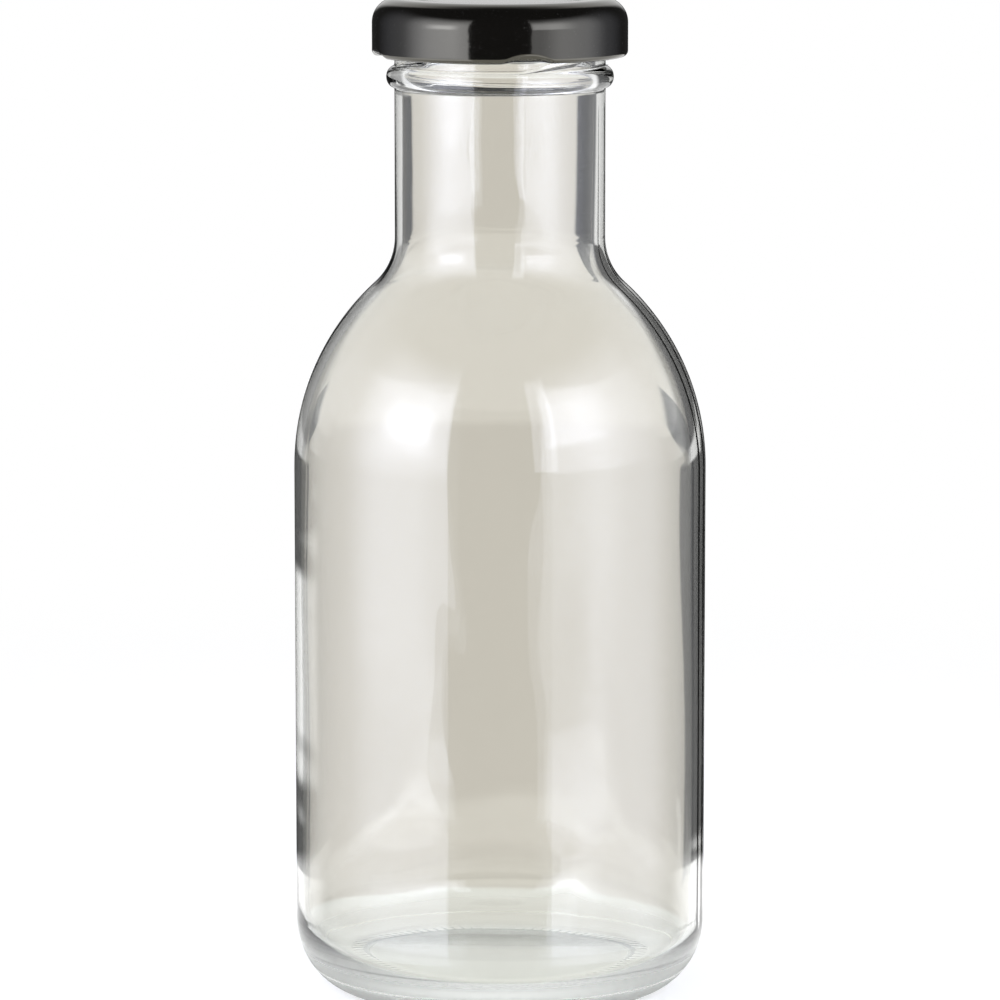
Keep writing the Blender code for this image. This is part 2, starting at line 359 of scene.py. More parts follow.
@dataclass(frozen=True)
class ClearGlass:
    """Clear soda glass with the faint grey of its iron, greener where it is thick.

    Its underside is stippled and its outer heel frosted. Heights are above the table.
    """

    tint: Triple = (0.930, 0.935, 0.915)
    cord_gain: float = 1.008
    cord_scale: Triple = (90.0, 90.0, 22.0)
    cord_detail: float = 3.0
    cord_levels: Span = (0.35, 0.7)
    heel_tint: Triple = (0.920, 0.945, 0.920)
    heel_top: float = 0.020
    heel_foot: float = 0.007
    heel_drift: float = 0.006
    index: float = 1.52
    ripple_scale: Triple = (160.0, 160.0, 60.0)
    ripple_height: float = 0.000002
    roughness: float = 0.5
    stipple_top: float = 0.0042
    stipple_full: float = 0.00294
    frost_top: float = 0.0100
    frost_full: float = 0.0030
    frost_radius: float = 0.0310
    frost_edge: float = 0.0006

    def material(self) -> bpy.types.Material:
        """Builds the material.

        Returns:
            Glass whose tint, roughness and ripple change over its surface.
        """
        material, board = shader_board("bottle_clear_glass")
        place = board.add("ShaderNodeTexCoord", None, None, "Object")
        height = board.add("ShaderNodeSeparateXYZ", None, {0: place}, "Z")
        level = {0: place, 1: (1.0, 1.0, 0.0)}
        flat = board.add("ShaderNodeVectorMath", {"operation": "MULTIPLY"}, level)
        radius = board.add("ShaderNodeVectorMath", {"operation": "LENGTH"}, {0: flat}, "Value")
        cords = board.noise(board.stretched(place, self.cord_scale), 1.0, self.cord_detail)
        ripple = board.noise(board.stretched(place, self.ripple_scale), 1.0)
        corded = tuple(share * self.cord_gain for share in self.tint)
        body = board.mix(cords.ramp(*self.cord_levels), (*self.tint, 1.0), (*corded, 1.0))
        heel = 1 - (height + cords * self.heel_drift).ramp(self.heel_foot, self.heel_top)
        stipple = height.ramp(self.stipple_top, self.stipple_full)
        frost = height.ramp(self.frost_top, self.frost_full)
        frost = frost * radius.ramp(self.frost_radius, self.frost_radius + self.frost_edge)
        shader = board.add(
            "ShaderNodeBsdfPrincipled",
            None,
            {
                "Base Color": board.mix(heel, body, (*self.heel_tint, 1.0)),
                "Roughness": stipple.at_least(frost) * self.roughness,
                "IOR": self.index,
                "Transmission Weight": 1.0,
                "Normal": board.bump(ripple, self.ripple_height, 1.0),
            },
        )
        board.finish("ShaderNodeOutputMaterial", shader)
        return material


@dataclass(frozen=True)
class BlackEnamel:
    """Gloss black enamel baked on the pressed cap, with faint orange peel and dust."""

    colour: Triple = (0.0028, 0.0026, 0.0023)
    roughness: float = 0.07
    index: float = 1.5
    gloss: float = 0.95
    gloss_tint: Triple = (1.0, 0.945, 0.76)
    peel_scale: float = 900.0
    peel_height: float = 0.00002
    peel_strength: float = 0.35
    haze_scale: float = 140.0
    haze_detail: float = 3.0
    haze_roughness: float = 0.03
    dust_scale: float = 5200.0
    dust_levels: Span = (0.72, 0.80)
    dust_colour: float = 0.12
    dust_share: float = 0.35
    dust_roughness: float = 0.25

    def material(self) -> bpy.types.Material:
        """Builds the material.

        Returns:
            Black gloss whose roughness and relief change over its surface.
        """
        material, board = shader_board("cap_black_enamel")
        place = board.add("ShaderNodeTexCoord", None, None, "Object")
        peel = board.noise(place, self.peel_scale)
        dust = board.noise(place, self.dust_scale, 1.0).ramp(*self.dust_levels)
        haze = board.noise(place, self.haze_scale, self.haze_detail) * self.haze_roughness
        dusty = grey(self.dust_colour)
        shader = board.add(
            "ShaderNodeBsdfPrincipled",
            None,
            {
                "Base Color": board.mix(dust * self.dust_share, (*self.colour, 1.0), dusty),
                "Roughness": self.roughness + haze + dust * self.dust_roughness,
                "IOR": self.index,
                "Specular IOR Level": self.gloss,
                "Specular Tint": (*self.gloss_tint, 1.0),
                "Normal": board.bump(peel, self.peel_height, self.peel_strength),
            },
        )
        board.finish("ShaderNodeOutputMaterial", shader)
        return material


@dataclass(frozen=True)
class GasketCompound:
    """Off-white sealing compound, matt, with flow marks and small pores."""

    colour: Triple = (0.76, 0.73, 0.66)
    shade: Triple = (0.66, 0.62, 0.54)
    flow_scale: float = 260.0
    flow_detail: float = 4.0
    flow_levels: Span = (0.3, 0.75)
    pore_scale: float = 2600.0
    pore_levels: Span = (0.62, 0.74)
    pore_share: float = 0.5
    roughness: float = 0.42
    flow_roughness: float = 0.2
    index: float = 1.46
    relief_height: float = 0.00005
    relief_strength: float = 0.6

    def material(self) -> bpy.types.Material:
        """Builds the material.

        Returns:
            Matt compound whose colour, roughness and relief change over its surface.
        """
        material, board = shader_board("gasket_off_white_compound")
        place = board.add("ShaderNodeTexCoord", None, None, "Object")
        flow = board.noise(place, self.flow_scale, self.flow_detail)
        pores = board.noise(place, self.pore_scale, 1.0).ramp(*self.pore_levels)
        shade = (*self.shade, 1.0)
        colour = board.mix(flow.ramp(*self.flow_levels), (*self.colour, 1.0), shade)
        shader = board.add(
            "ShaderNodeBsdfPrincipled",
            None,
            {
                "Base Color": board.mix(pores * self.pore_share, colour, shade),
                "Roughness": self.roughness + flow * self.flow_roughness,
                "IOR": self.index,
                "Normal": board.bump(flow - pores, self.relief_height, self.relief_strength),
            },
        )
        board.finish("ShaderNodeOutputMaterial", shader)
        return material


@dataclass(frozen=True)
class Swell:
    """A heavier or leaner spot of the blown inner wall, which may lean to one side as it rises."""

    turn_deg: float
    height: float
    half_turn_deg: float
    half_height: float
    depth: float
    lean_deg: float = 0.0

    def relief(self, angle_deg: np.ndarray, height: np.ndarray) -> np.ndarray:
        """How far the spot thickens the wall.

        Args:
            angle_deg: angle of each point round the bottle.
            height: height of each point.

        Returns:
            The relief at each point.
        """
        up = (height - self.height) / self.half_height
        offset = (angle_deg - self.turn_deg - self.lean_deg * up + 180) % 360 - 180
        away = (offset / self.half_turn_deg) ** 2 + up**2
        return self.depth * np.exp(-away)


@dataclass(frozen=True)
class WallWave:
    """A wave of the blown inner wall, by its depth, its turns round and its run up the bottle."""

    depth: float
    turns: int
    rise: float
    phase: float = 0.0

    def relief(self, angle: np.ndarray, height: np.ndarray) -> np.ndarray:
        """How far the wave thickens the wall at each point."""
        return self.depth * np.sin(self.turns * angle + self.rise * height + self.phase)


@dataclass(frozen=True)
class BlownWall:
    """Uneven inner face of the blown wall: thin side, slow waves, fine chatter and spots."""

    thinning: float = 0.00046
    lean: float = 0.00038
    lean_foot: float = 0.002
    wave_foot: float = 0.010
    foot_fade: float = 0.012
    top: float = 0.1510
    top_fade: float = 0.003
    chatter: float = 0.000004
    chatter_gain: float = 0.000010
    facing_edge: float = 0.65
    facing_fade: float = 0.25
    waves: tuple[WallWave, ...] = (
        WallWave(0.00005, 2, 45, 0.6),
        WallWave(0.00003, 3, -60, 2.1),
        WallWave(0.00001, 5, 120, 4.0),
    )
    chatter_waves: tuple[WallWave, WallWave] = (WallWave(1.0, 9, 420), WallWave(1.0, 7, -310, 1.0))
    swells: tuple[Swell, ...] = (
        Swell(-24, 0.046, 8, 0.015, -0.00040, 5),
        Swell(-12, 0.060, 5, 0.012, 0.00020, -4),
        Swell(19, 0.068, 6, 0.012, 0.00025, 4),
        Swell(30, 0.050, 5, 0.018, -0.00022, -6),
        Swell(-30, 0.028, 10, 0.005, 0.00025, 3),
        Swell(21, 0.026, 6, 0.004, -0.00022, 2),
        Swell(163, 0.060, 8, 0.020, 0.00030, 6),
        Swell(-158, 0.084, 9, 0.014, -0.00028, -5),
        Swell(-150, 0.034, 9, 0.014, 0.00030, 8),
        Swell(148, 0.026, 7, 0.008, -0.00025, 3),
        Swell(-22, 0.122, 14, 0.005, 0.00014, 4),
        Swell(16, 0.131, 9, 0.004, -0.00012, -5),
        Swell(-28, 0.139, 10, 0.004, -0.00012, 3),
    )

    def relief(self, angle: np.ndarray, height: np.ndarray) -> np.ndarray:
        """How far the inner face strays into the cavity from the even wall.

        Args:
            angle: angle of each point round the bottle, in radians.
            height: height of each point.

        Returns:
            The relief at each point, below 0 where the wall is thinner.
        """
        side = self.lean * np.sin(angle) - self.thinning
        side = side * smooth_step((height - self.lean_foot) / self.foot_fade)
        slow = sum(wave.relief(angle, height) for wave in self.waves)
        facing = smooth_step((np.abs(np.cos(angle)) - self.facing_edge) / self.facing_fade)
        first, second = (wave.relief(angle, height) for wave in self.chatter_waves)
        quick = (self.chatter + self.chatter_gain * facing) * first * second
        spots = sum(swell.relief(np.degrees(angle), height) for swell in self.swells)
        uneven = (slow + quick + spots) * smooth_step((height - self.wave_foot) / self.foot_fade)
        return (side + uneven) * smooth_step((self.top - height) / self.top_fade)


@dataclass(frozen=True)
class FinishThreads:
    """Short right-hand threads of the finish.

    Each has a tail that grows behind the bead, a bend up to the grip, a hold that rises slowly
    and a lead that fades out. Its turns are counted in degrees from its own start.
    """

    count: int = 4
    first_deg: float = 13.0
    depth: float = 0.00135
    height: float = 0.0014
    sink: float = 0.0002
    margin_deg: float = 10.0
    tail_deg: float = -4.0
    bend_deg: float = 30.0
    hold_deg: float = 40.0
    end_deg: float = 76.0
    run_out_deg: float = 0.5
    tail_rise: float = 0.0010
    hold_rise: float = 0.0005
    growth_deg: float = 28.0
    lead_deg: float = 7.0
    tail_height: float = 0.12
    tail_depth: float = 0.25
    lead_depth: float = 0.08
    lower_flank: float = 0.36
    upper_flank: float = 0.42

    def relief(
        self, angle_deg: np.ndarray, height: np.ndarray, bead_top: float, grip: float
    ) -> np.ndarray:
        """How far the threads stand out of the finish.

        Args:
            angle_deg: angle of each point round the bottle.
            height: height of each point.
            bead_top: height of the bead's top, behind which the tails start.
            grip: height at which the lugs hold.

        Returns:
            The relief at each point.
        """
        pitch = 360 / self.count
        turn = (angle_deg - self.first_deg + self.margin_deg) % pitch - self.margin_deg
        tail_foot = bead_top - self.sink
        bend_foot = tail_foot + self.tail_rise
        climb = smooth_step((turn - self.bend_deg) / (self.hold_deg - self.bend_deg))
        tail = tail_foot + self.tail_rise * (turn - self.tail_deg) / (self.bend_deg - self.tail_deg)
        bend = bend_foot + (grip - bend_foot) * climb
        hold = grip + self.hold_rise * (turn - self.hold_deg) / (self.end_deg - self.hold_deg)
        foot = np.where(turn <= self.bend_deg, tail, np.where(turn <= self.hold_deg, bend, hold))
        grown = smooth_step((turn - self.tail_deg) / self.growth_deg)
        lead = smooth_step((self.end_deg - turn) / self.lead_deg)
        tall = self.height * (self.tail_height + (1 - self.tail_height) * grown)
        deep = self.depth * (self.tail_depth + (1 - self.tail_depth) * grown)
        deep = deep * (self.lead_depth + (1 - self.lead_depth) * lead)
        share = (height - foot) / tall
        form = smooth_step(share / self.lower_flank) * smooth_step((1 - share) / self.upper_flank)
        along = (turn > self.tail_deg) & (turn < self.end_deg + self.run_out_deg)
        return np.where(along & (share > 0) & (share < 1), deep * form, 0.0)


@dataclass(frozen=True)
class MouldSeams:
    """The two faint upright seams of the mould, left off the finish and the base."""

    first_deg: float = 81.0
    half_deg: float = 0.8
    height: float = 0.00005
    foot: float = 0.004
    foot_fade: float = 0.006
    top: float = 0.1475
    top_fade: float = 0.004

    def relief(self, angle_deg: np.ndarray, height: np.ndarray) -> np.ndarray:
        """How far the seams stand out of the glass.

        Args:
            angle_deg: angle of each point round the bottle.
            height: height of each point.

        Returns:
            The relief at each point.
        """
        offset = np.abs((angle_deg - self.first_deg + 90) % 180 - 90)
        line = np.exp(-((offset / self.half_deg) ** 2))
        reach = smooth_step((height - self.foot) / self.foot_fade)
        return self.height * line * reach * smooth_step((self.top - height) / self.top_fade)


@dataclass(frozen=True)
class BearingMarks:
    """Short radial marks pressed into the bearing ring."""

    count: int = 96
    depth: float = 0.00022
    inner_reach: float = 0.0022
    inner_fade: float = 0.0006
    outer_reach: float = 0.0012
    outer_fade: float = 0.0008
    top: float = 0.0012
    top_fade: float = 0.0006

    def relief(
        self, angle: np.ndarray, radius: np.ndarray, height: np.ndarray, bearing: float
    ) -> np.ndarray:
        """How deep the marks are.

        Args:
            angle: angle of each point round the bottle, in radians.
            radius: distance of each point from the axis.
            height: height of each point.
            bearing: outer radius of the bearing ring.

        Returns:
            The depth at each point.
        """
        across = smooth_step((radius - bearing + self.inner_reach) / self.inner_fade)
        across = across * smooth_step((bearing + self.outer_reach - radius) / self.outer_fade)
        low = smooth_step((self.top - height) / self.top_fade)
        return self.depth * across * low * (0.5 + 0.5 * np.cos(angle * self.count))


@dataclass
class GlassBottle:
    """Moulded glass bottle: push-up base, heel, body, shoulder, neck, bead and threaded finish."""

    body_radius: float
    lip_top: float
    shoulder_start: float = 0.0861
    shoulder_radius: float = 0.0406
    neck_radius: float = 0.0171
    neck_fillet: float = 0.0102
    heel_width: float = 0.0090
    heel_height: float = 0.0114
    bearing_width: float = 0.0017
    push_up_step: float = 0.0009
    push_up_rise: float = 0.0022
    wall: float = 0.0021
    base_thickness: float = 0.0027
    inner_heel: float = 0.0073
    floor_crown: float = 0.0008
    lip_round: float = 0.0008
    lip_depth: float = 0.003
    bead_top: float = 0.15127
    bead_height: float = 0.0034
    bead_depth: float = 0.00133
    bead_join: float = 0.0012
    bead_ledge: float = 0.0002
    grip: float = 0.15412
    thread_room: float = 0.0006
    thread_fade: float = 0.0004
    seam_room: float = 0.00004
    lip_margin: float = 0.0002
    lip_fade: float = 0.0001
    corner_soft: float = 0.00022
    threads: FinishThreads = FinishThreads()
    seams: MouldSeams = MouldSeams()
    marks: BearingMarks = BearingMarks()
    blown_wall: BlownWall = BlownWall()
    columns: int = 384
    hollow_points: int = 40
    hollow_middle: float = 0.02
    heel_row: float = 0.00045
    floor_row: float = 0.0006
    body_row: float = 0.0011
    shoulder_row: float = 0.0007
    inner_shoulder_row: float = 0.0008
    neck_row: float = 0.0008
    bore_row: float = 0.0009
    finish_row: float = 0.00013
    lip_row: float = 0.00016

    def _shoulder(self, inset: float) -> np.ndarray:
        """Shoulder and neck fillet, from the body up.

        Args:
            inset: how far the line is moved into the glass.

        Returns:
            Points of the line, as (r, z).
        """
        centre = self.body_radius - self.shoulder_radius
        fillet_centre = self.neck_radius + self.neck_fillet
        span = fillet_centre - centre
        rise = math.sqrt((self.shoulder_radius + self.neck_fillet) ** 2 - span**2)
        meet = math.degrees(math.atan2(rise, span))
        shoulder_r = self.shoulder_radius - inset
        fillet_r = self.neck_fillet + inset
        fillet_height = self.shoulder_start + rise
        body = arc((centre, self.shoulder_start), (shoulder_r, shoulder_r), 0, meet)
        neck = arc((fillet_centre, fillet_height), (fillet_r, fillet_r), 180 + meet, 180)
        return np.vstack([body, neck[1:]])

    def _outside(self) -> Stretches:
        """Outer face.

        Returns:
            Its stretches from the middle of the base up to the lip, each with its row spacing.
        """
        bearing = self.body_radius - self.heel_width - self.bearing_width
        edge = bearing - self.push_up_step
        shares = np.linspace(self.hollow_middle, 1.0, self.hollow_points)
        rise = self.push_up_rise + (self.push_up_step - self.push_up_rise) * shares**2
        hollow = np.column_stack([edge * shares, rise])
        heel_centre = (self.body_radius - self.heel_width, self.heel_height)
        heel = arc(heel_centre, (self.heel_width, self.heel_height), -90, 0)
        shoulder = self._shoulder(0.0)
        bead_foot = self.bead_top - self.bead_height
        bead_centre = (self.neck_radius, bead_foot + self.bead_height / 2)
        bead = arc(bead_centre, (self.bead_depth, self.bead_height / 2), -90, 90)
        neck_top = [self.neck_radius, bead_foot - self.bead_join]
        finish_foot = [self.neck_radius, self.bead_top + self.bead_ledge]
        lip_centre = (self.neck_radius - self.lip_round, self.lip_top - self.lip_round)
        lip = arc(lip_centre, (self.lip_round, self.lip_round), 0, 90)
        return [
            (np.vstack([hollow, [[bearing, 0]], heel]), self.heel_row),
            (np.array([heel[-1], shoulder[0]]), self.body_row),
            (shoulder, self.shoulder_row),
            (np.array([shoulder[-1], neck_top]), self.neck_row),
            (np.vstack([[neck_top], bead, [finish_foot]]), self.finish_row),
            (np.vstack([[finish_foot], lip]), self.finish_row),
        ]

    def _inside(self) -> Stretches:
        """Inner face.

        Returns:
            Its stretches from the lip down to the middle of the floor, each with its row spacing.
        """
        bore = self.neck_radius - self.wall
        floor_radius = self.body_radius - self.wall - self.inner_heel
        floor_top = self.push_up_rise + self.base_thickness
        floor_edge = floor_top - self.floor_crown
        lip_centre = (bore + self.lip_round, self.lip_top - self.lip_round)
        lip = arc(lip_centre, (self.lip_round, self.lip_round), 90, 180)
        lip_foot = [bore, self.lip_top - self.lip_depth]
        shoulder = self._shoulder(self.wall)[::-1]
        heel_centre = (floor_radius, floor_edge + self.inner_heel)
        heel = arc(heel_centre, (self.inner_heel, self.inner_heel), 0, -90)
        shares = np.linspace(1.0, self.hollow_middle, self.hollow_points)
        crown = floor_top + (floor_edge - floor_top) * shares**2
        floor = np.column_stack([floor_radius * shares, crown])
        return [
            (np.vstack([lip, [lip_foot]]), self.lip_row),
            (np.array([lip_foot, shoulder[0]]), self.bore_row),
            (shoulder, self.inner_shoulder_row),
            (np.array([shoulder[-1], heel[0]]), self.body_row),
            (np.vstack([heel, floor[1:]]), self.floor_row),
        ]

    def _rows(self, stretches: Stretches) -> np.ndarray:
        """Rows of a face.

        Args:
            stretches: its stretches, end to end, each with its row spacing.

        Returns:
            The rows, as (r, z), with the corners between the stretches rounded.
        """
        line = np.vstack([stretches[0][0]] + [points[1:] for points, _ in stretches[1:]])
        fine = softened(line, self.corner_soft / 3, self.corner_soft)
        steps = np.hypot(*np.diff(fine, axis=0).T)
        along = np.concatenate([[0.0], np.cumsum(steps)])
        lengths = [np.hypot(*np.diff(points, axis=0).T).sum() for points, _ in stretches]
        ends = np.concatenate([[0.0], np.cumsum(lengths)])
        ends *= along[-1] / ends[-1]
        wanted = [0.0]
        for start, end, (_, spacing) in zip(ends, ends[1:], stretches):
            count = max(1, int(round((end - start) / spacing)))
            wanted += list(start + (end - start) * np.arange(1, count + 1) / count)
        return np.column_stack([np.interp(wanted, along, fine[:, axis]) for axis in (0, 1)])

    def _formed_outside(
        self, radius: np.ndarray, height: np.ndarray, angle: np.ndarray
    ) -> PointGrids:
        """Outer face with its threads, seams and marks.

        Args:
            radius: distance of each point from the axis.
            height: height of each point.
            angle: angle of each column, in radians.

        Returns:
            The new radius and height.
        """
        degrees = np.degrees(angle)
        above_bead = smooth_step((height - self.bead_top + self.thread_room) / self.thread_fade)
        upright = smooth_step((radius - self.neck_radius + self.lip_margin) / self.lip_fade)
        upright = upright * (height > self.heel_height)
        threads = self.threads.relief(degrees, height, self.bead_top, self.grip)
        radius = radius + threads * above_bead
        radius = radius - self.seam_room * upright + self.seams.relief(degrees, height)
        bearing = self.body_radius - self.heel_width
        return radius, height + self.marks.relief(angle, radius, height, bearing)

    def build(self) -> bpy.types.Object:
        """Builds the glass.

        Returns:
            The piece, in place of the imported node.
        """
        angle = column_angles(self.columns)
        outer_r, outer_z = spun(self._rows(self._outside()), self.columns)
        inner_r, inner_z = spun(self._rows(self._inside()), self.columns)
        outer_r, outer_z = self._formed_outside(outer_r, outer_z, angle)
        inner_r = inner_r - self.blown_wall.relief(angle, inner_z)
        radius = np.vstack([outer_r, inner_r[1:]])
        height = np.vstack([outer_z, inner_z[1:]])
        grid = RingGrid(radius, height, angle, start_pole=True, end_pole=True)
        mesh = grid.mesh("bottle_glass")
        piece = placed("bottle_glass", mesh, Body.BOTTLE, "glass_bottle")
        piece.data.materials.append(ClearGlass().material())
        return piece


@dataclass
class LugCap:
    """Pressed cap: domed corner, ridge round a sunk panel, curled foot and four lugs."""

    radius: float
    top: float
    foot: float
    sheet: float = 0.00025
    corner: float = 0.0039
    panel_drop: float = 0.0005
    ridge_inner: float = 0.0144
    ridge_slope: float = 0.0012
    curl: float = 0.00092
    curl_turn_deg: float = 280.0
    lug_count: int = 4
    lug_turn_deg: float = 13.0
    lug_flat_deg: float = 6.0
    lug_half_deg: float = 13.5
    lug_push: float = 0.0014
    lug_height: float = 0.0011
    lug_lift: float = 0.00024
    relief_height: float = 0.0016
    relief_slope: float = 0.35
    middle: float = 0.0002
    press_soft: float = 0.00022
    press_row: float = 0.0001
    skirt_row: float = 0.0002
    fine_margin: float = 0.0012
    coarse_every: int = 6
    fine_every: int = 2
    columns: int = 360

    def _profile(self) -> np.ndarray:
        """Outer face of the sheet.

        Returns:
            Its points, as (r, z), from the middle of the panel to the end of the curl.
        """
        panel = self.top - self.panel_drop
        slope_foot = self.ridge_inner - self.ridge_slope
        corner_centre = (self.radius - self.corner, self.top - self.corner)
        corner = arc(corner_centre, (self.corner, self.corner), 90, 0)
        curl_centre = (self.radius - self.curl, self.foot + self.curl)
        curl = arc(curl_centre, (self.curl, self.curl), 0, -self.curl_turn_deg)
        flat = [[self.middle, panel], [slope_foot, panel], [self.ridge_inner, self.top]]
        rounded = softened(np.vstack([flat, corner]), self.press_row, self.press_soft)
        skirt = resampled(np.array([rounded[-1], curl[0]]), self.skirt_row)
        plain = rounded[:, 0] < slope_foot - self.fine_margin
        coarse = rounded[plain][:: self.coarse_every]
        fine = rounded[~plain][:: self.fine_every]
        return np.vstack([coarse, fine, skirt[1:-1], curl[:: self.coarse_every]])

    def _pressed(self, radius: np.ndarray, height: np.ndarray, angle_deg: np.ndarray) -> PointGrids:
        """The sheet after the lugs are pressed in from the curl.

        Args:
            radius: distance of each point from the axis.
            height: height of each point.
            angle_deg: angle of each column.

        Returns:
            The new radius and height.
        """
        pressed_height = max(self.relief_height, 2 * self.curl)
        rise = height - self.foot
        pitch = 360 / self.lug_count
        offset = np.abs((angle_deg - self.lug_turn_deg + pitch / 2) % pitch - pitch / 2)
        slope = self.lug_half_deg - self.lug_flat_deg
        pressed = smooth_step((self.lug_half_deg - offset) / slope)
        inside = np.clip((self.radius - radius) / (2 * self.curl), 0, 1)
        arch = self.relief_height * np.clip(1 - (offset / self.lug_half_deg) ** 2, 0, None)
        dent = self.relief_slope * np.clip(arch - rise, 0, None)
        push = dent + (self.lug_push * pressed - dent) * inside
        lift = self.lug_lift * pressed * (1 - rise / pressed_height)
        flattening = 1 - self.lug_height / (2 * self.curl)
        new_height = self.foot + lift + rise * (1 - flattening * inside * pressed)
        low = rise <= pressed_height
        return np.where(low, radius - push, radius), np.where(low, new_height, height)

    def build(self) -> bpy.types.Object:
        """Builds the cap.

        Returns:
            The piece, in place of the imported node.
        """
        angle = column_angles(self.columns)
        radius, height = spun(self._profile(), self.columns)
        radius, height = self._pressed(radius, height, np.degrees(angle))
        mesh = RingGrid(radius, height, angle, start_pole=True).mesh("cap_shell")
        mesh.flip_normals()
        piece = placed("cap_shell", mesh, Body.CAP, "lug_cap")
        sheet = piece.modifiers.new("sheet", "SOLIDIFY")
        sheet.thickness = self.sheet
        sheet.offset = -1
        sheet.use_even_offset = True
        piece.data.materials.append(BlackEnamel().material())
        return piece


@dataclass
class SealingGasket:
    """Flowed-in gasket ring, crowned above and marked below by the lip."""

    outer_radius: float
    foot: float
    top: float
    inner_radius: float = 0.01475
    crown_width: float = 0.0010
    crown_drop: float = 0.00045
    corner_soft: float = 0.00009
    row: float = 0.00005
    every: int = 3
    groove_radius: float = 0.0163
    groove_half: float = 0.0005
    groove_depth: float = 0.00008
    sway: float = 0.00003
    columns: int = 240

    def build(self) -> bpy.types.Object:
        """Builds the ring.

        Returns:
            The piece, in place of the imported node.
        """
        corners = np.array(
            [
                [self.inner_radius, self.foot],
                [self.inner_radius, self.top],
                [self.outer_radius - self.crown_width, self.top],
                [self.outer_radius, self.top - self.crown_drop],
                [self.outer_radius, self.foot],
            ]
        )
        start = (corners[0] + corners[-1]) / 2
        line = softened(np.vstack([start, corners, start]), self.row, self.corner_soft)
        line = line[:: self.every]
        groove = np.exp(-(((line[:, 0] - self.groove_radius) / self.groove_half) ** 2))
        below = line[:, 1] < (self.foot + self.top) / 2
        line[:, 1] += np.where(below, self.groove_depth * groove, 0)
        angle = column_angles(self.columns)
        radius, height = spun(line[:-1], self.columns)
        sway = self.sway * np.sin(7 * angle) * np.sin(3 * angle + 1)
        grid = RingGrid(radius + sway * (radius < self.groove_radius), height, angle, endless=True)
        mesh = grid.mesh("gasket_ring")
        piece = placed("gasket_ring", mesh, Body.GASKET, "sealing_gasket")
        piece.data.materials.append(GasketCompound().material())
        return piece


@dataclass(frozen=True)
class RayKinds:
    """How a ray came to a stage piece, each 0 or 1."""

    camera: Signal
    straight: Signal
    once: Signal
    inner: Signal
    outer: Signal
    plain: Signal

    @classmethod
    def on(cls, board: NodeBoard) -> "RayKinds":
        """Reads the kinds of ray on a board.

        Args:
            board: board of the stage piece's shader.

        Returns:
            camera: seen directly; straight: through glass without a mirroring; once: mirrored once
            inside one wall; inner: mirrored deeper in the glass; outer: mirrored off a surface;
            plain: the light that falls on a matt surface.
        """
        camera = board.add("ShaderNodeLightPath", None, None, "Is Camera Ray")
        through = camera.output("Is Transmission Ray")
        glossy = camera.output("Is Glossy Ray")
        mirrors = camera.output("Glossy Depth")
        passes = camera.output("Transmission Depth")
        mirrored = mirrors.at_most(1.0)
        # one mirroring, and at most two faces passed
        one_wall = board.maths("LESS_THAN", mirrors, 1.5) * board.maths("LESS_THAN", passes, 2.5)
        once = one_wall * mirrored * through
        return cls(
            camera=camera,
            straight=through * (1 - mirrored),
            once=once,
            inner=through * mirrored * (1 - once),
            outer=glossy * (1 - through),
            plain=1 - camera.at_least(glossy).at_least(through),
        )


@dataclass(frozen=True)
class Glow:
    """Soft-edged patch of light on a panel.

    It has a level, a reach in degrees and in height, and the widths of its soft edges. A patch
    within shows only to rays that were mirrored inside the glass.
    """

    level: float
    start_deg: float
    end_deg: float
    low: float
    high: float
    soft_deg: Span = (1.0, 10.0)
    soft_height: Span = (0.02, 0.10)
    within: bool = False

    def signal(self, degrees: Signal, height: Signal, inside: Signal) -> Signal:
        """Strength of the patch.

        Args:
            degrees: angle round the bottle from its front.
            height: height above the floor.
            inside: 1 for a ray that was mirrored inside the glass.

        Returns:
            The level inside, falling to 0 over the soft edges.
        """
        start = (self.start_deg, self.start_deg + self.soft_deg[0])
        end = (self.end_deg, self.end_deg - self.soft_deg[1])
        foot = (self.low, self.low + self.soft_height[0])
        top = (self.high, self.high - self.soft_height[1])
        strength = degrees.band(start, end) * height.band(foot, top) * self.level
        return strength * inside if self.within else strength


